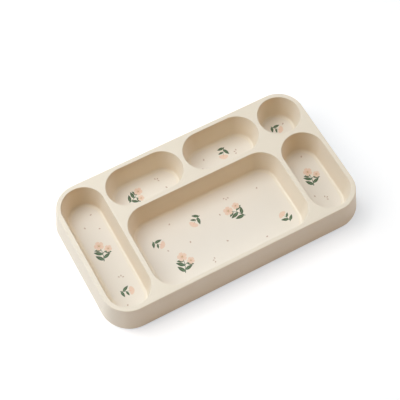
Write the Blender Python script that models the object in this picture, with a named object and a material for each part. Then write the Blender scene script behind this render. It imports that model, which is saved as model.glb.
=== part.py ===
"""Divided serving tray: one soft moulded body with six wells, and a printed film let into each well's floor.

The origin is on the resting plane, under the middle of the deck. +X runs along the tray to the right, +Y runs
towards the back row of wells and +Z is up. Lengths are in metres and angles in degrees.
"""

import math

import bmesh
import bpy
from mathutils import Vector

# Plan of the deck, measured at the rims of the wells
SLOT_WIDTH = 0.0485  # both side slots, the round cup and the back row
BACK_WELL_LENGTH = 0.0895  # each of the two wells in the back row
MAIN_WELL_WIDTH = 0.1015  # front to back, and also the length of the short slot
MAIN_CORNER_RADIUS = 0.0243
DIVIDER_WIDTH = 0.005
RIM_WIDTH = 0.0039  # flat land between the wells and the rounded outer edge

# Heights, walls and drafts
TRAY_HEIGHT = 0.035
FLOOR_CLEARANCE = 0.003  # under the floors: the tray stands on the foot of its skirt
FLOOR_THICKNESS = 0.003
WALL_THICKNESS = 0.0025
RIM_DEPTH = 0.010  # solid under the rim and the dividers, above the hollow
WELL_DRAFT = 9.5
SKIRT_DRAFT = 6.5

# Roundings
OUTER_EDGE_RADIUS = 0.0012
LIP_RADIUS = 0.0006
FLOOR_FILLET_RADIUS = 0.0025
FOOT_RADIUS = 0.0006
HOLLOW_RADIUS = 0.001  # inside, where the skirt turns to the solid rim

# Printed films
FILM_THICKNESS = 0.0003
FILM_CLEARANCE = 0.0003  # below and around each film
FILM_MARGIN = 0.0015  # flat floor left between the fillet and the film's recess

# How finely the solids are made
CORNER_STEPS = 8
LIP_STEPS = 3
FILLET_STEPS = 4
FOOT_STEPS = 2
SAME_POINT = 0.000001
OVERRUN = 0.001  # how far a cutter runs past the face that it cuts
LEAD_SLOPE = 5.0  # a cutter's rounding runs on at this slope, to cross that face cleanly
SHARP_ANGLE = 40.0  # edges over this angle aren't shaded smooth

# Finishes: base colour and roughness
CREAM = (0.80, 0.70, 0.57, 1.0)
FILM_CREAM = (0.79, 0.695, 0.595, 1.0)
BODY_ROUGHNESS = 0.6
FILM_ROUGHNESS = 0.5


class Outline:
    """A rounded rectangle in plan, given by its front left corner, its sides and its corner radius."""

    def __init__(self, left, front, length, width, corner):
        self.location = (left + length / 2, front + width / 2, 0)
        self.reach_x = length / 2 - corner
        self.reach_y = width / 2 - corner
        self.corner = corner

    def points(self, offset):
        """The outline grown by offset, anticlockwise about its own middle. Its corners stay concentric."""
        radius = self.corner + offset
        found = []
        for quarter, (side_x, side_y) in enumerate(((1, 1), (-1, 1), (-1, -1), (1, -1))):
            for step in range(CORNER_STEPS + 1):
                angle = math.radians(90 * (quarter + step / CORNER_STEPS))
                x = side_x * self.reach_x + radius * math.cos(angle)
                y = side_y * self.reach_y + radius * math.sin(angle)
                if not found or math.dist(found[-1], (x, y)) > SAME_POINT:
                    found.append((x, y))
        if math.dist(found[0], found[-1]) < SAME_POINT:
            found.pop()
        return found


def plan_of_wells():
    """The outline round all the wells, and the outline of each well at its rim."""
    main_length = 2 * BACK_WELL_LENGTH + DIVIDER_WIDTH
    plan_length = main_length + 2 * (SLOT_WIDTH + DIVIDER_WIDTH)
    plan_width = MAIN_WELL_WIDTH + DIVIDER_WIDTH + SLOT_WIDTH
    left = -plan_length / 2
    front = -plan_width / 2
    main_left = left + SLOT_WIDTH + DIVIDER_WIDTH
    middle_left = main_left + BACK_WELL_LENGTH + DIVIDER_WIDTH
    right_left = main_left + main_length + DIVIDER_WIDTH
    back_front = front + MAIN_WELL_WIDTH + DIVIDER_WIDTH
    full_round = SLOT_WIDTH / 2
    wells = {
        "main": Outline(main_left, front, main_length, MAIN_WELL_WIDTH, MAIN_CORNER_RADIUS),
        "long_slot": Outline(left, front, SLOT_WIDTH, plan_width, full_round),
        "back_left": Outline(main_left, back_front, BACK_WELL_LENGTH, SLOT_WIDTH, full_round),
        "back_right": Outline(middle_left, back_front, BACK_WELL_LENGTH, SLOT_WIDTH, full_round),
        "round_cup": Outline(right_left, back_front, SLOT_WIDTH, SLOT_WIDTH, full_round),
        "short_slot": Outline(right_left, front, SLOT_WIDTH, MAIN_WELL_WIDTH, full_round),
    }
    return Outline(left, front, plan_length, plan_width, full_round), wells


def tangent_length(radius, angle):
    """How far a rounding of that radius reaches along each side of a corner with that inside angle."""
    return radius / math.tan(math.radians(angle) / 2)


def rounded(start, *corners, end):
    """The (offset, height) points of a profile, with an arc at each corner (offset, height, radius, steps)."""
    sharp = [Vector(start), *(Vector(corner[:2]) for corner in corners), Vector(end)]
    found = [sharp[0]]
    for before, at, after, (_, _, radius, steps) in zip(sharp, sharp[1:], sharp[2:], corners):
        back = (before - at).normalized()
        ahead = (after - at).normalized()
        half_angle = back.angle(ahead) / 2
        centre = at + (back + ahead).normalized() * (radius / math.sin(half_angle))
        from_centre = at + back * (radius / math.tan(half_angle)) - centre
        to_centre = at + ahead * (radius / math.tan(half_angle)) - centre
        turn = -from_centre.angle_signed(to_centre)
        for step in range(steps + 1):
            angle = turn * step / steps
            found.append(centre + Vector((
                from_centre.x * math.cos(angle) - from_centre.y * math.sin(angle),
                from_centre.x * math.sin(angle) + from_centre.y * math.cos(angle),
            )))
    return [*found, sharp[-1]]


def rise(length, draft):
    """How far a drafted face moves sideways over that height."""
    return length * math.tan(math.radians(draft))


def across(thickness, draft):
    """The level width of a wall of that thickness, which leans by draft."""
    return thickness / math.cos(math.radians(draft))


def floor_height():
    return FLOOR_CLEARANCE + FLOOR_THICKNESS


def well_offset(height):
    return -rise(TRAY_HEIGHT - height, WELL_DRAFT)


def skin_offset(height):
    return well_offset(height) + across(WALL_THICKNESS, WELL_DRAFT)


def skirt_offset(height):
    edge = tangent_length(OUTER_EDGE_RADIUS, 90 + SKIRT_DRAFT)
    return RIM_WIDTH + edge + rise(TRAY_HEIGHT - height, SKIRT_DRAFT)


def hollow_offset(height):
    return skirt_offset(height) - across(WALL_THICKNESS, SKIRT_DRAFT)


def recess_offset():
    fillet = tangent_length(FLOOR_FILLET_RADIUS, 90 + WELL_DRAFT)
    return well_offset(floor_height()) - fillet - FILM_MARGIN


def outer_profile():
    """From the foot, up the skirt and over the rounded edge to the deck. The guide points at its ends go."""
    return rounded(
        (0, 0),
        (skirt_offset(0), 0, FOOT_RADIUS, FOOT_STEPS),
        (skirt_offset(TRAY_HEIGHT), TRAY_HEIGHT, OUTER_EDGE_RADIUS, FILLET_STEPS),
        end=(0, TRAY_HEIGHT),
    )[1:-1]


def well_profile():
    """From above the deck, over the lip, down the wall and round the fillet to the film's recess."""
    lead = LIP_RADIUS + OVERRUN
    recess_depth = FILM_THICKNESS + FILM_CLEARANCE
    return [
        *rounded(
            (lead, TRAY_HEIGHT + rise(lead, LEAD_SLOPE)),
            (0, TRAY_HEIGHT, LIP_RADIUS, LIP_STEPS),
            (well_offset(floor_height()), floor_height(), FLOOR_FILLET_RADIUS, FILLET_STEPS),
            end=(recess_offset(), floor_height()),
        ),
        Vector((recess_offset(), floor_height() - recess_depth)),
    ]


def skin_profile():
    """The outside of a well, from the deck to the underside of its floor. The guide point at its end goes."""
    return rounded(
        (skin_offset(TRAY_HEIGHT), TRAY_HEIGHT),
        (skin_offset(FLOOR_CLEARANCE), FLOOR_CLEARANCE, FLOOR_FILLET_RADIUS + WALL_THICKNESS, FILLET_STEPS),
        end=(recess_offset(), FLOOR_CLEARANCE),
    )[:-1]


def hollow_profile():
    """The inside of the skirt, up to the solid rim. The guide point at its end goes."""
    top = TRAY_HEIGHT - RIM_DEPTH
    return rounded(
        (hollow_offset(-OVERRUN), -OVERRUN),
        (hollow_offset(top), top, HOLLOW_RADIUS, FOOT_STEPS),
        end=(0, top),
    )[:-1]


def film_profile():
    offset = recess_offset() - FILM_CLEARANCE
    return [Vector((offset, floor_height() - FILM_THICKNESS)), Vector((offset, floor_height()))]


def loft(name, outline, profile, collection, material=None):
    """A closed solid that follows outline, grown by each point's offset at that point's height."""
    shape = bmesh.new()
    rings = [
        [shape.verts.new((x, y, point.y)) for x, y in outline.points(point.x)] for point in profile
    ]
    for ring, following in zip(rings, rings[1:]):
        for here, there in zip(range(-1, len(ring) - 1), range(len(ring))):
            shape.faces.new((ring[here], ring[there], following[there], following[here]))
    shape.faces.new(rings[0])
    shape.faces.new(rings[-1])
    bmesh.ops.recalc_face_normals(shape, faces=shape.faces)
    mesh = bpy.data.meshes.new(name)
    shape.to_mesh(mesh)
    shape.free()
    mesh.shade_smooth()
    mesh.set_sharp_from_angle(angle=math.radians(SHARP_ANGLE))
    if material:
        mesh.materials.append(material)
    piece = bpy.data.objects.new(name, mesh)
    piece.location = outline.location
    collection.objects.link(piece)
    return piece


def cutter(name, outline, profile, collection):
    piece = loft(name, outline, profile, collection)
    piece.hide_render = True
    piece.display_type = "WIRE"
    return piece


def cut(piece, *tools):
    for tool in tools:
        modifier = piece.modifiers.new(f"cut by {tool.name}", "BOOLEAN")
        modifier.operation = "DIFFERENCE"
        modifier.solver = "EXACT"
        modifier.object = tool


def finish(name, colour, roughness):
    """A matte moulded finish."""
    material = bpy.data.materials.new(name)
    material.use_nodes = True
    shader = material.node_tree.nodes["Principled BSDF"]
    shader.inputs["Base Color"].default_value = colour
    shader.inputs["Roughness"].default_value = roughness
    shader.inputs["Metallic"].default_value = 0
    return material


def clear_scene():
    for piece in list(bpy.data.objects):
        bpy.data.objects.remove(piece)


def new_collection(name):
    collection = bpy.data.collections.new(name)
    bpy.context.scene.collection.children.link(collection)
    return collection


def make_hollow(plan, wells, cutters):
    """The space under the rim and between the wells, open below, left by walls of even thickness."""
    hollow = cutter("cut_hollow", plan, hollow_profile(), cutters)
    for name, outline in wells.items():
        cut(hollow, cutter(f"cut_hollow_{name}_skin", outline, skin_profile(), cutters))
    return hollow


def make_body(plan, wells, tray, cutters):
    body = loft("tray_body", plan, outer_profile(), tray, finish("soft cream", CREAM, BODY_ROUGHNESS))
    cut(body, make_hollow(plan, wells, cutters))
    for name, outline in wells.items():
        cut(body, cutter(f"cut_{name}_well", outline, well_profile(), cutters))
    return body


def make_films(wells, body, tray):
    """One printed film a floor, flush with it and clear of its recess all round."""
    printed = finish("printed film", FILM_CREAM, FILM_ROUGHNESS)
    for name, outline in wells.items():
        film = loft(f"{name}_floor_film", outline, film_profile(), tray, printed)
        film.parent = body
        film.matrix_parent_inverse = body.matrix_world.inverted()


def main():
    clear_scene()
    plan, wells = plan_of_wells()
    tray = new_collection("divided tray")
    cutters = new_collection("cutters")
    body = make_body(plan, wells, tray, cutters)
    make_films(wells, body, tray)


main()
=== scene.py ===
"""Looks of the divided tray: a soft matte moulding with six wells and a small print on each floor.

Lengths are in metres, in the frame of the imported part: +X along the tray, +Y to the back row,
+Z up. Angles are in degrees, and colours are linear.
"""

import math

import bmesh
import bpy
from mathutils import Matrix, Vector
from mathutils.geometry import delaunay_2d_cdt

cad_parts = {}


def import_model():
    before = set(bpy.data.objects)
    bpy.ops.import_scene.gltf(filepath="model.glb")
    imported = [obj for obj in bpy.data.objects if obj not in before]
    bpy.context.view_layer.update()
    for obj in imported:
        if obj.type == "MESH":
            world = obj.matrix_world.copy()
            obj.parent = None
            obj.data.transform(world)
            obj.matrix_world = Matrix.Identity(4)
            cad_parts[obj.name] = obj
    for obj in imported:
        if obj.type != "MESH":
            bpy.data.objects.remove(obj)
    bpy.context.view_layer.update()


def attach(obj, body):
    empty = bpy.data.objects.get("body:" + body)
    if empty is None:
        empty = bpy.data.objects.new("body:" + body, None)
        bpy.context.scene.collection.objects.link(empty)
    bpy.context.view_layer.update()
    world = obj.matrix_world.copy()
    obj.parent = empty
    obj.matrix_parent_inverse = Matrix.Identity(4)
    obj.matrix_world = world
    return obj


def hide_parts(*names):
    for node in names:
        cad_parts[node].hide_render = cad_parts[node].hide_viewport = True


# The part's own sizes
SLOT_WIDTH = 0.0485
BACK_WELL_LENGTH = 0.0895
MAIN_WELL_WIDTH = 0.1015
MAIN_CORNER_RADIUS = 0.0243
DIVIDER_WIDTH = 0.005
RIM_WIDTH = 0.0039
TRAY_HEIGHT = 0.035
FLOOR_CLEARANCE = 0.003
FLOOR_HEIGHT = 0.006
WALL_THICKNESS = 0.0025
RIM_DEPTH = 0.010
WELL_DRAFT = 9.5
SKIRT_DRAFT = 6.5
OUTER_EDGE_RADIUS = 0.0012
LIP_RADIUS = 0.0006
FLOOR_FILLET_RADIUS = 0.0025
FOOT_RADIUS = 0.0006
HOLLOW_RADIUS = 0.001
FILM_THICKNESS = 0.0003
RECESS_DEPTH = 0.0006
FILM_MARGIN = 0.0015

# How finely it is drawn
CORNER_STEPS = 24
SIDE_STEP = 0.004
ARC_STEPS = 8
GUARD = 0.0002  # a flat strip beside each rounding, which keeps the flats flat in the shading
SHARP_ANGLE = 50  # a turn that is shaded as an edge
SEAM = 0.00002  # between a film and the rim of its recess
MILLIMETRE = 0.001
SAME_POINT = 1e-7
FACES_INSIDE = 1  # what the triangulation of a film keeps: the faces inside its loops

# The corners of an outline, anticlockwise: which side of the middle each is on, and the way on
CORNERS = (((1, 1), (-1, 0)), ((-1, 1), (0, -1)), ((-1, -1), (1, 0)), ((1, -1), (0, 1)))

# The matte finish: faint clouds in its colour and gloss, and a fine grain
CLOUD_SCALE = 55
CLOUD_DETAIL = 4
ROUGHNESS = 0.5
ROUGHNESS_RANGE = 0.06
GRAIN_SCALE = 2600
GRAIN_DETAIL = 2
GRAIN_HEIGHT = 0.0001
BODY_GRAIN = 0.15
FILM_GRAIN = 0.1
MOULDING_IOR = 1.5

# The moulding, then a film's ground and its inks: the lighter and the darker shade of the clouds
CREAM = ((0.82, 0.71, 0.565), (0.80, 0.69, 0.545))
FILM_COLOURS = [
    ("film ground", (0.80, 0.70, 0.585), (0.78, 0.68, 0.565)),
    ("petal ink", (0.79, 0.57, 0.42), (0.76, 0.51, 0.365)),
    ("blush ink", (0.78, 0.47, 0.32), (0.74, 0.41, 0.27)),
    ("pollen ink", (0.50, 0.33, 0.16), (0.42, 0.27, 0.12)),
    ("leaf ink", (0.060, 0.095, 0.028), (0.037, 0.055, 0.012)),
    ("vein ink", (0.15, 0.27, 0.14), (0.11, 0.21, 0.10)),
    ("seed ink", (0.58, 0.41, 0.30), (0.52, 0.36, 0.26)),
]
GROUND, PETAL, BLUSH, POLLEN, LEAF, VEIN, SEED = range(len(FILM_COLOURS))

# The print's forms: how much a stem thins towards its tip, the sizes of a leaf as shares of its
# length, and the sizes of a blossom as shares of its radius
STEM_THINNING = 0.6
LEAF_WIDTH = 0.4
VEIN_LENGTH = 0.8
VEIN_WIDTH = 0.06
PETAL_COUNT = 5
PETAL_WIDTH = 0.8
NOTCH_DEPTH = 0.09
NOTCH_SHARPNESS = 9
BLUSH_LENGTH = 0.6
BLUSH_WIDTH = 0.16
HEART_RADIUS = 0.15
STAMEN_REACH = 0.32
STAMEN_RADIUS = 0.06

# A motif's leaves: each one's share of the way up the stem, its turn from the stem and its length
SPRAY_LEAVES = ((0.08, 58, 8.4), (0.2, -54, 7.6), (0.46, 64, 8.2), (0.74, 76, 6.2))
TWIG_LEAF = (0.35, -50, 6.4)
BUD_LEAVES = ((0.1, -52, 6.6), (0.3, 54, 7.2), (0.62, -58, 5.2))
BUD_PETAL_TURNS = (-46, 46, 0)
BUD_FLOWER_FOOT = 0.94
TWIG_FOOT = 0.5
TWIG_TURN = -52
TWIG_BLOSSOM_TWIST = 20
SEED_RADIUS = 1.2
SEED_SQUASH = 0.66
SEEDS_TURNS = (-62, 4, 70)
SEEDS_REACH = 2.3
SEEDS_SHRINK = 0.85

# The studio: the floor's half side, its drop below the tray, and its colours
FLOOR_REACH = 3
FLOOR_CELLS = 8
FLOOR_DROP = 0.0001
FLOOR_ROUGHNESS = 0.9
FLOOR_TINT = (0.90, 0.92, 0.98)  # of the light that it throws back on the tray
FLOOR_TINT_SEEN = (0.85, 0.685, 0.57)
FLOOR_GLOW_SEEN = (0.28, 0.40, 0.49)
BEYOND_FLOOR = (0.87, 0.89, 0.905)

# Far lights: azimuth, elevation and spread, and the brightness of a white card that faces each
FAR_LIGHTS = [
    ("window_low", 120, 30, 30, (0.10, 0.115, 0.135)),
    ("window_middle", 110, 55, 20, (0.18, 0.215, 0.255)),
    ("window_top", 110, 75, 20, (0.185, 0.21, 0.225)),
    ("left_low", 180, 15, 40, (0.16, 0.165, 0.175)),
    ("right_low", 0, 35, 40, (0.19, 0.185, 0.195)),
    ("right_high", 0, 60, 40, (0.105, 0.10, 0.085)),
    ("front_left", 225, 35, 40, (0.075, 0.04, 0.0)),
    ("front_right", 300, 20, 30, (0.085, 0.045, 0.01)),
]
# A round panel beside the window: azimuth, elevation, distance, diameter, and the same brightness
NEAR_LIGHT = ("window_panel", 150, 50, 1.2, 0.8, (0.355, 0.39, 0.42))

# The photograph's camera: its place, the direction it looks in, its roll and its focal length
CAMERA_PLACE = (-0.297584, -0.564614, 1.169823)
CAMERA_AIM = (0.223, 0.43442, -0.87267)
CAMERA_ROLL = -1.4389
CAMERA_LENS = 108.97
SENSOR_WIDTH = 36.0
CAMERA_CLIP_START = 0.01


class Outline:
    """A rounded rectangle in plan, given by its front left corner, sides and corner radius."""

    def __init__(self, left, front, length, width, corner):
        self.middle = (left + length / 2, front + width / 2)
        self.reach_x = length / 2 - corner
        self.reach_y = width / 2 - corner
        self.corner = corner

    def points(self, offset):
        """The outline grown by offset, anticlockwise, with as many points at every offset."""
        radius = self.corner + offset
        found = []
        for quarter, ((side_x, side_y), way) in enumerate(CORNERS):
            for step in range(CORNER_STEPS + 1):
                angle = math.radians(90 * (quarter + step / CORNER_STEPS))
                found.append(Vector((
                    self.middle[0] + side_x * self.reach_x + radius * math.cos(angle),
                    self.middle[1] + side_y * self.reach_y + radius * math.sin(angle),
                )))
            run = 2 * (self.reach_x if way[0] else self.reach_y)
            count = round(run / SIDE_STEP)
            if count:
                start = found[-1]
                ahead = Vector(way) * run
                found += [start + ahead * (step / count) for step in range(1, count)]
            else:
                found.pop()  # with no straight side, the next corner starts at this very point
        return found


def plan_of_wells():
    """The outline round all the wells, and the outline of each well at its rim."""
    main_length = 2 * BACK_WELL_LENGTH + DIVIDER_WIDTH
    plan_length = main_length + 2 * (SLOT_WIDTH + DIVIDER_WIDTH)
    plan_width = MAIN_WELL_WIDTH + DIVIDER_WIDTH + SLOT_WIDTH
    left = -plan_length / 2
    front = -plan_width / 2
    main_left = left + SLOT_WIDTH + DIVIDER_WIDTH
    middle_left = main_left + BACK_WELL_LENGTH + DIVIDER_WIDTH
    right_left = main_left + main_length + DIVIDER_WIDTH
    back_front = front + MAIN_WELL_WIDTH + DIVIDER_WIDTH
    full_round = SLOT_WIDTH / 2
    wells = {
        "main": Outline(main_left, front, main_length, MAIN_WELL_WIDTH, MAIN_CORNER_RADIUS),
        "long_slot": Outline(left, front, SLOT_WIDTH, plan_width, full_round),
        "back_left": Outline(main_left, back_front, BACK_WELL_LENGTH, SLOT_WIDTH, full_round),
        "back_right": Outline(middle_left, back_front, BACK_WELL_LENGTH, SLOT_WIDTH, full_round),
        "round_cup": Outline(right_left, back_front, SLOT_WIDTH, SLOT_WIDTH, full_round),
        "short_slot": Outline(right_left, front, SLOT_WIDTH, MAIN_WELL_WIDTH, full_round),
    }
    return Outline(left, front, plan_length, plan_width, full_round), wells


def tangent_length(radius, angle):
    """How far from a corner of that angle a rounding of that radius starts."""
    return radius / math.tan(math.radians(angle) / 2)


def rounded(start, *corners, end):
    """A profile's (offset, height) points, with an arc at each corner (offset, height, radius)."""
    sharp = [Vector(start), *(Vector(corner[:2]) for corner in corners), Vector(end)]
    found = [sharp[0]]
    for before, at, after, (_, _, radius) in zip(sharp, sharp[1:], sharp[2:], corners):
        back = (before - at).normalized()
        ahead = (after - at).normalized()
        half_angle = back.angle(ahead) / 2
        reach = radius / math.tan(half_angle)
        centre = at + (back + ahead).normalized() * (radius / math.sin(half_angle))
        from_centre = at + back * reach - centre
        to_centre = at + ahead * reach - centre
        turn = -from_centre.angle_signed(to_centre)
        found.append(at + back * (reach + GUARD))
        for step in range(ARC_STEPS + 1):
            found.append(centre + Matrix.Rotation(turn * step / ARC_STEPS, 2) @ from_centre)
        found.append(at + ahead * (reach + GUARD))
    return [*found, sharp[-1]]


def rise(length, draft):
    """How far a drafted wall leans over that length of height."""
    return length * math.tan(math.radians(draft))


def across(thickness, draft):
    """How wide a drafted wall of that thickness is when it is cut level."""
    return thickness / math.cos(math.radians(draft))


# Offsets are counted outwards from the outlines of the wells at their rims


def well_offset(height):
    """Of a well's wall, inside."""
    return -rise(TRAY_HEIGHT - height, WELL_DRAFT)


def skin_offset(height):
    """Of a well's wall, outside, as it shows from below."""
    return well_offset(height) + across(WALL_THICKNESS, WELL_DRAFT)


def skirt_offset(height):
    """Of the skirt, outside."""
    edge = tangent_length(OUTER_EDGE_RADIUS, 90 + SKIRT_DRAFT)
    return RIM_WIDTH + edge + rise(TRAY_HEIGHT - height, SKIRT_DRAFT)


def hollow_offset(height):
    """Of the skirt, inside."""
    return skirt_offset(height) - across(WALL_THICKNESS, SKIRT_DRAFT)


def recess_offset():
    """Of the recess for a film, which starts a margin away from the fillet of the floor."""
    fillet = tangent_length(FLOOR_FILLET_RADIUS, 90 + WELL_DRAFT)
    return well_offset(FLOOR_HEIGHT) - fillet - FILM_MARGIN


def skirt_profile():
    """From inside the skirt, under the foot, up the outside and over the edge to the deck."""
    top = TRAY_HEIGHT - RIM_DEPTH
    return rounded(
        (hollow_offset(top) - 2 * HOLLOW_RADIUS, top),
        (hollow_offset(top), top, HOLLOW_RADIUS),
        (hollow_offset(0), 0, FOOT_RADIUS),
        (skirt_offset(0), 0, FOOT_RADIUS),
        (skirt_offset(TRAY_HEIGHT), TRAY_HEIGHT, OUTER_EDGE_RADIUS),
        end=(RIM_WIDTH - 2 * GUARD, TRAY_HEIGHT),
    )[1:-1]


def well_profile():
    """From the deck, over the lip, down the wall and round the fillet to the recess of the film."""
    return [
        *rounded(
            (2 * LIP_RADIUS, TRAY_HEIGHT),
            (0, TRAY_HEIGHT, LIP_RADIUS),
            (well_offset(FLOOR_HEIGHT), FLOOR_HEIGHT, FLOOR_FILLET_RADIUS),
            end=(recess_offset(), FLOOR_HEIGHT),
        )[1:],
        Vector((recess_offset(), FLOOR_HEIGHT - RECESS_DEPTH)),
    ]


def skin_profile():
    """The outside of a well, from the underside of the rim to the underside of its floor."""
    top = TRAY_HEIGHT - RIM_DEPTH
    return rounded(
        (skin_offset(top), top),
        (skin_offset(FLOOR_CLEARANCE), FLOOR_CLEARANCE, FLOOR_FILLET_RADIUS + WALL_THICKNESS),
        end=(recess_offset(), FLOOR_CLEARANCE),
    )[:-1]


def loft(shape, outline, profile):
    """Faces along outline, grown by the profile's offset at each of its heights.

    Returns the first and the last ring of points.
    """
    rings = [
        [shape.verts.new((*place, point.y)) for place in outline.points(point.x)]
        for point in profile
    ]
    for ring, following in zip(rings, rings[1:]):
        for here, there in zip(range(-1, len(ring) - 1), range(len(ring))):
            shape.faces.new((ring[here], ring[there], following[there], following[here]))
    return rings[0], rings[-1]


def close(shape, *rings):
    """A flat face inside the first ring, less what the others enclose."""
    edges = [
        shape.edges.get((ring[index - 1], ring[index]))
        for ring in rings
        for index in range(len(ring))
    ]
    bmesh.ops.triangle_fill(shape, use_beauty=True, edges=edges)


def to_object(shape, name, materials):
    """A smooth-shaded object of the scene, with its sharp edges kept sharp."""
    bmesh.ops.recalc_face_normals(shape, faces=shape.faces)
    mesh = bpy.data.meshes.new(name)
    shape.to_mesh(mesh)
    shape.free()
    for material in materials:
        mesh.materials.append(material)
    mesh.shade_smooth()
    mesh.set_sharp_from_angle(angle=math.radians(SHARP_ANGLE))
    piece = bpy.data.objects.new(name, mesh)
    bpy.context.scene.collection.objects.link(piece)
    return piece


def make_tray(plan, wells, material):
    """The moulding: the skirt and the wells, joined by the deck above and the rim's underside."""
    shape = bmesh.new()
    under_outer, deck_outer = loft(shape, plan, skirt_profile())
    deck_holes = []
    under_holes = []
    for outline in wells.values():
        lip, recess = loft(shape, outline, well_profile())
        close(shape, recess)
        deck_holes.append(lip)
        skin, underside = loft(shape, outline, skin_profile())
        close(shape, underside)
        under_holes.append(skin)
    close(shape, deck_outer, *deck_holes)
    close(shape, under_outer, *under_holes)
    tray = to_object(shape, "moulded_tray", [material])
    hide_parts("tray_body")
    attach(tray, "root")


def node(tree, kind, **settings):
    made = tree.nodes.new(kind)
    for name, value in settings.items():
        setattr(made, name, value)
    return made


def moulded(name, light, dark, grain):
    """A matte finish: faint clouds in its colour, a fine grain and slightly uneven gloss."""
    material = bpy.data.materials.new(name)
    material.use_nodes = True
    tree = material.node_tree
    shader = tree.nodes["Principled BSDF"]
    shader.inputs["IOR"].default_value = MOULDING_IOR
    place = node(tree, "ShaderNodeTexCoord").outputs["Object"]

    cloud = node(tree, "ShaderNodeTexNoise")
    cloud.inputs["Scale"].default_value = CLOUD_SCALE
    cloud.inputs["Detail"].default_value = CLOUD_DETAIL
    tree.links.new(place, cloud.inputs["Vector"])
    tint = node(tree, "ShaderNodeMix", data_type="RGBA")
    tint.inputs["A"].default_value = (*light, 1)
    tint.inputs["B"].default_value = (*dark, 1)
    tree.links.new(cloud.outputs["Fac"], tint.inputs["Factor"])
    tree.links.new(tint.outputs["Result"], shader.inputs["Base Color"])

    gloss = node(tree, "ShaderNodeMapRange")
    gloss.inputs["To Min"].default_value = ROUGHNESS - ROUGHNESS_RANGE
    gloss.inputs["To Max"].default_value = ROUGHNESS + ROUGHNESS_RANGE
    tree.links.new(cloud.outputs["Fac"], gloss.inputs["Value"])
    tree.links.new(gloss.outputs["Result"], shader.inputs["Roughness"])

    fine = node(tree, "ShaderNodeTexNoise")
    fine.inputs["Scale"].default_value = GRAIN_SCALE
    fine.inputs["Detail"].default_value = GRAIN_DETAIL
    tree.links.new(place, fine.inputs["Vector"])
    bump = node(tree, "ShaderNodeBump")
    bump.inputs["Strength"].default_value = grain
    bump.inputs["Distance"].default_value = GRAIN_HEIGHT
    tree.links.new(fine.outputs["Fac"], bump.inputs["Height"])
    tree.links.new(bump.outputs["Normal"], shader.inputs["Normal"])
    return material


def placed(points, at, angle=0.0, size=1.0):
    """Points turned by angle, scaled by size and moved to at."""
    turn = Matrix.Rotation(math.radians(angle), 2)
    return [Vector(at) + turn @ (Vector(point) * size) for point in points]


def blade(length, width, lean, fullness, count):
    """An outline along +X from the origin, widest near its far end where lean is above 1."""
    shares = [step / count for step in range(count + 1)]
    halves = [width / 2 * math.sin(math.pi * share ** lean) ** fullness for share in shares]
    near = [(length * share, -half) for share, half in zip(shares, halves)]
    return near + [(x, -y) for x, y in reversed(near[1:-1])]


def leaf_shape(length, width):
    return blade(length, width, lean=0.8, fullness=0.9, count=14)


def vein_shape(length, width):
    """Widest near its root, with a long thin tip."""
    return blade(length, width, lean=0.4, fullness=1, count=8)


def petal_shape(length, width):
    """Narrow at the heart of the blossom, full towards its tip, with a shallow notch there."""
    points = blade(length, width, lean=1.7, fullness=0.6, count=16)
    return [
        (x - NOTCH_DEPTH * length * math.exp(-(NOTCH_SHARPNESS * y / width) ** 2), y)
        if x > length / 2 else (x, y)
        for x, y in points
    ]


def disc_shape(radius, count=12, squash=1.0):
    steps = [2 * math.pi * step / count for step in range(count)]
    return [(radius * math.cos(step), squash * radius * math.sin(step)) for step in steps]


# Each motif gives a list of (ink, outline), in the order of printing. Its lengths are in
# millimetres before its size is applied, and it runs along angle from its place.


class Stem:
    """A stem that thins towards its tip, and bends to its left where its bend is above 0."""

    def __init__(self, at, angle, size, length, bend, width):
        self.at, self.angle, self.size = at, angle, size
        self.length, self.bend, self.width = length, bend, width

    def point(self, share, side=0.0):
        """A place at that share of the way up: on its right edge at -1, its left edge at 1."""
        half = self.width / 2 * (1 - STEM_THINNING * share)
        place = (self.length * share, self.bend * share ** 2 + side * half)
        return placed([place], self.at, self.angle, self.size)[0]

    def heading(self, share):
        return self.angle + math.degrees(math.atan2(2 * self.bend * share, self.length))

    def ink(self, count=10):
        shares = [step / count for step in range(count + 1)]
        right = [self.point(share, -1) for share in shares]
        left = [self.point(share, 1) for share in reversed(shares)]
        return LEAF, right + left

    def leaf(self, share, turn, length):
        at, angle, size = self.point(share), self.heading(share) + turn, length * self.size
        return [
            (LEAF, placed(leaf_shape(size, LEAF_WIDTH * size), at, angle)),
            (VEIN, placed(vein_shape(VEIN_LENGTH * size, VEIN_WIDTH * size), at, angle)),
        ]


def blossom(at, angle, radius):
    """Five petals round a heart, with a ring of stamens."""
    turn = 360 / PETAL_COUNT
    angles = [angle + turn * index for index in range(PETAL_COUNT)]
    petal = petal_shape(radius, PETAL_WIDTH * radius)
    blush = vein_shape(BLUSH_LENGTH * radius, BLUSH_WIDTH * radius)
    stamen = disc_shape(STAMEN_RADIUS * radius, count=8)
    inks = [(PETAL, placed(petal, at, each)) for each in angles]
    inks += [(BLUSH, placed(blush, at, each)) for each in angles]
    inks.append((POLLEN, placed(disc_shape(HEART_RADIUS * radius), at)))
    for each in angles:
        tip = placed([(STAMEN_REACH * radius, 0)], at, each + turn / 2)[0]
        inks.append((POLLEN, placed(stamen, tip)))
    return inks


def spray(at, angle, size):
    """A bent stem with four leaves and a full blossom, and a twig with one leaf and a smaller."""
    stem = Stem(at, angle, size, length=15, bend=4, width=0.7)
    twig_angle = stem.heading(TWIG_FOOT) + TWIG_TURN
    twig = Stem(stem.point(TWIG_FOOT), twig_angle, size, length=6.6, bend=-1, width=0.6)
    inks = [stem.ink(), twig.ink()]
    for leaf in SPRAY_LEAVES:
        inks += stem.leaf(*leaf)
    inks += twig.leaf(*TWIG_LEAF)
    inks += blossom(stem.point(1), stem.heading(1), radius=4.6 * size)
    inks += blossom(twig.point(1), twig.heading(1) + TWIG_BLOSSOM_TWIST, radius=3.6 * size)
    return inks


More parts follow.
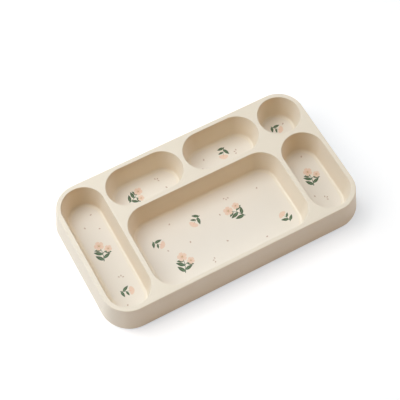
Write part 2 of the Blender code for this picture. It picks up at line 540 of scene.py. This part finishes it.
def bud(at, angle, size):
    """A short stem with three leaves and a half-open flower."""
    stem = Stem(at, angle, size, length=8.5, bend=1.6, width=0.6)
    inks = [stem.ink()]
    for leaf in BUD_LEAVES:
        inks += stem.leaf(*leaf)
    root, heading = stem.point(BUD_FLOWER_FOOT), stem.heading(1)
    petal = petal_shape(length=5.0, width=4.0)
    inks += [(PETAL, placed(petal, root, heading + turn, size)) for turn in BUD_PETAL_TURNS]
    inks.append((BLUSH, placed(vein_shape(length=3.0, width=0.7), root, heading, size)))
    return inks


def seed(at, angle, size):
    return [(SEED, placed(disc_shape(SEED_RADIUS, squash=SEED_SQUASH), at, angle, size))]


def seeds(at, angle, size):
    """Three smaller seeds, fanned out."""
    inks = []
    for turn in SEEDS_TURNS:
        tip = placed([(SEEDS_REACH, 0)], at, angle + turn, size)[0]
        inks += seed(tip, angle + turn, SEEDS_SHRINK * size)
    return inks


# The print: each motif, its place on the tray in millimetres, its turn and its size
PRINT = {
    "main": [
        (spray, -56, -56, 58, 1.25),
        (spray, 34, -26, 120, 1.25),
        (bud, -10, -2, 200, 1.25),
        (bud, 74, -56, 98, 1.2),
        (bud, -70, -6, 300, 1.15),
        (seed, -34, -26, 75, 1.1),
        (seed, 2, -44, 140, 1.1),
        (seed, 62, -2, 60, 1.1),
        (seed, -60, -24, 120, 1.0),
        (seed, 42, -60, 15, 1.1),
        (seed, -44, 4, 40, 1.0),
        (seed, 10, -12, 100, 1.0),
        (seeds, -20, -58, 160, 1.1),
        (seeds, 26, 4, 250, 1.1),
    ],
    "long_slot": [
        (spray, -126, -2, 66, 1.25),
        (bud, -127, -42, 326, 1.2),
        (seed, -114, 56, 20, 1.1),
        (seed, -127, 44, 110, 1.1),
        (seeds, -119, -28, 60, 1.1),
        (seed, -113, 36, 170, 1.0),
        (seed, -127, -60, 50, 1.0),
    ],
    "back_left": [
        (spray, -70, 49, 14, 1.1),
        (seeds, -31, 60, 30, 1.1),
        (seed, -25, 47, 120, 1.1),
    ],
    "back_right": [
        (bud, 56, 62, 228, 1.25),
        (seed, 28, 58, 70, 1.1),
        (seeds, 66, 50, 150, 1.1),
        (seed, 21, 48, 10, 1.1),
    ],
    "round_cup": [
        (bud, 116, 60, 300, 1.15),
        (seed, 130, 57, 40, 1.1),
    ],
    "short_slot": [
        (spray, 119, -30, 66, 1.2),
        (seeds, 122, -50, 10, 1.1),
        (seed, 113, -42, 100, 1.0),
        (seed, 126, 9, 50, 1.1),
    ],
}


def make_film(name, outline, materials):
    """A film that fills its recess, with the inks of its print let into its top face."""
    points = outline.points(recess_offset() - SEAM)
    loops = [list(range(len(points)))]
    inks = [GROUND]
    for motif, x, y, angle, size in PRINT[name]:
        at = (x * MILLIMETRE, y * MILLIMETRE)
        for ink, region in motif(at, angle, size * MILLIMETRE):
            loops.append(list(range(len(points), len(points) + len(region))))
            points += region
            inks.append(ink)
    cut = delaunay_2d_cdt(points, [], loops, FACES_INSIDE, SAME_POINT)
    places, _, faces, _, _, sources = cut
    shape = bmesh.new()
    top = [shape.verts.new((*place, FLOOR_HEIGHT)) for place in places]
    for face, inside in zip(faces, sources):
        made = shape.faces.new([top[index] for index in face])
        made.material_index = inks[max(inside)]
    rim = [edge for edge in shape.edges if edge.is_boundary]
    below = {}
    for edge in rim:
        for vert in edge.verts:
            if vert not in below:
                below[vert] = shape.verts.new((*vert.co.xy, FLOOR_HEIGHT - FILM_THICKNESS))
    for edge in rim:
        start, end = edge.verts
        shape.faces.new((start, end, below[end], below[start]))
    foot = [shape.edges.get([below[vert] for vert in edge.verts]) for edge in rim]
    bmesh.ops.triangle_fill(shape, use_beauty=True, edges=foot)
    film = to_object(shape, f"{name}_printed_film", materials)
    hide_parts(f"{name}_floor_film")
    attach(film, "root")


def seen(tree):
    """1 for rays that show the background itself, and 0 for those that only carry its light."""
    ray = node(tree, "ShaderNodeLightPath")
    direct = node(tree, "ShaderNodeMath", operation="ADD")
    tree.links.new(ray.outputs["Is Camera Ray"], direct.inputs[0])
    tree.links.new(ray.outputs["Is Glossy Ray"], direct.inputs[1])
    total = node(tree, "ShaderNodeMath", operation="ADD", use_clamp=True)
    tree.links.new(direct.outputs["Value"], total.inputs[0])
    tree.links.new(ray.outputs["Is Transmission Ray"], total.inputs[1])
    return total.outputs["Value"]


def make_floor():
    """A pale floor. As seen, it also glows a little: it is white, and its shadows are soft grey."""
    material = bpy.data.materials.new("studio floor")
    material.use_nodes = True
    tree = material.node_tree
    shader = tree.nodes["Principled BSDF"]
    shader.inputs["Roughness"].default_value = FLOOR_ROUGHNESS
    shader.inputs["Specular IOR Level"].default_value = 0
    shader.inputs["Emission Color"].default_value = (*FLOOR_GLOW_SEEN, 1)
    shown = seen(tree)
    tree.links.new(shown, shader.inputs["Emission Strength"])
    tint = node(tree, "ShaderNodeMix", data_type="RGBA")
    tint.inputs["A"].default_value = (*FLOOR_TINT, 1)
    tint.inputs["B"].default_value = (*FLOOR_TINT_SEEN, 1)
    tree.links.new(shown, tint.inputs["Factor"])
    tree.links.new(tint.outputs["Result"], shader.inputs["Base Color"])
    shape = bmesh.new()
    bmesh.ops.create_grid(
        shape, x_segments=FLOOR_CELLS, y_segments=FLOOR_CELLS, size=FLOOR_REACH
    )
    floor = to_object(shape, "studio_floor", [material])
    floor.location.z = -FLOOR_DROP


def make_world():
    """A world that is as pale as the far floor where it is seen, and lights nothing itself."""
    world = bpy.data.worlds.new("studio")
    bpy.context.scene.world = world
    world.use_nodes = True
    tree = world.node_tree
    background = tree.nodes["Background"]
    background.inputs["Strength"].default_value = 0.0
    shown = node(tree, "ShaderNodeBackground")
    shown.inputs["Color"].default_value = (*BEYOND_FLOOR, 1)
    mix = node(tree, "ShaderNodeMixShader")
    tree.links.new(seen(tree), mix.inputs["Fac"])
    tree.links.new(background.outputs["Background"], mix.inputs[1])
    tree.links.new(shown.outputs["Background"], mix.inputs[2])
    tree.links.new(mix.outputs["Shader"], tree.nodes["World Output"].inputs["Surface"])


def add_lamp(light, azimuth, elevation, power):
    """A lamp whose light comes from that elevation and azimuth, counted from +X towards +Y."""
    light.color = [share / max(power) for share in power]
    lamp = bpy.data.objects.new(light.name, light)
    lamp.rotation_euler = (0, math.radians(90 - elevation), math.radians(azimuth))
    bpy.context.scene.collection.objects.link(lamp)
    return lamp


def far_light(name, azimuth, elevation, spread, power):
    """A soft light from afar."""
    light = bpy.data.lights.new(name, "SUN")
    light.energy = math.pi * max(power)
    light.angle = math.radians(spread)
    add_lamp(light, azimuth, elevation, power)


def near_light(name, azimuth, elevation, distance, diameter, power):
    """A round panel that faces the origin from that distance."""
    light = bpy.data.lights.new(name, "AREA")
    light.shape = "DISK"
    light.size = diameter
    light.energy = (math.pi * distance) ** 2 * max(power)
    lamp = add_lamp(light, azimuth, elevation, power)
    lamp.location = lamp.rotation_euler.to_matrix() @ Vector((0, 0, distance))


def make_camera():
    camera = bpy.data.objects.new("photo_camera", bpy.data.cameras.new("photo_camera"))
    camera.data.sensor_width = SENSOR_WIDTH
    camera.data.lens = CAMERA_LENS
    camera.data.clip_start = CAMERA_CLIP_START
    aim = Vector(CAMERA_AIM).to_track_quat("-Z", "Y").to_matrix()
    roll = Matrix.Rotation(math.radians(CAMERA_ROLL), 3, "Z")
    camera.matrix_world = Matrix.LocRotScale(Vector(CAMERA_PLACE), aim @ roll, None)
    bpy.context.scene.collection.objects.link(camera)
    bpy.context.scene.camera = camera


def main():
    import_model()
    plan, wells = plan_of_wells()
    make_tray(plan, wells, moulded("moulded cream", *CREAM, BODY_GRAIN))
    films = [moulded(*colours, FILM_GRAIN) for colours in FILM_COLOURS]
    for name, outline in wells.items():
        make_film(name, outline, films)
    make_floor()
    make_world()
    for light in FAR_LIGHTS:
        far_light(*light)
    near_light(*NEAR_LIGHT)
    make_camera()
    bpy.context.scene.view_settings.view_transform = "Standard"


main()
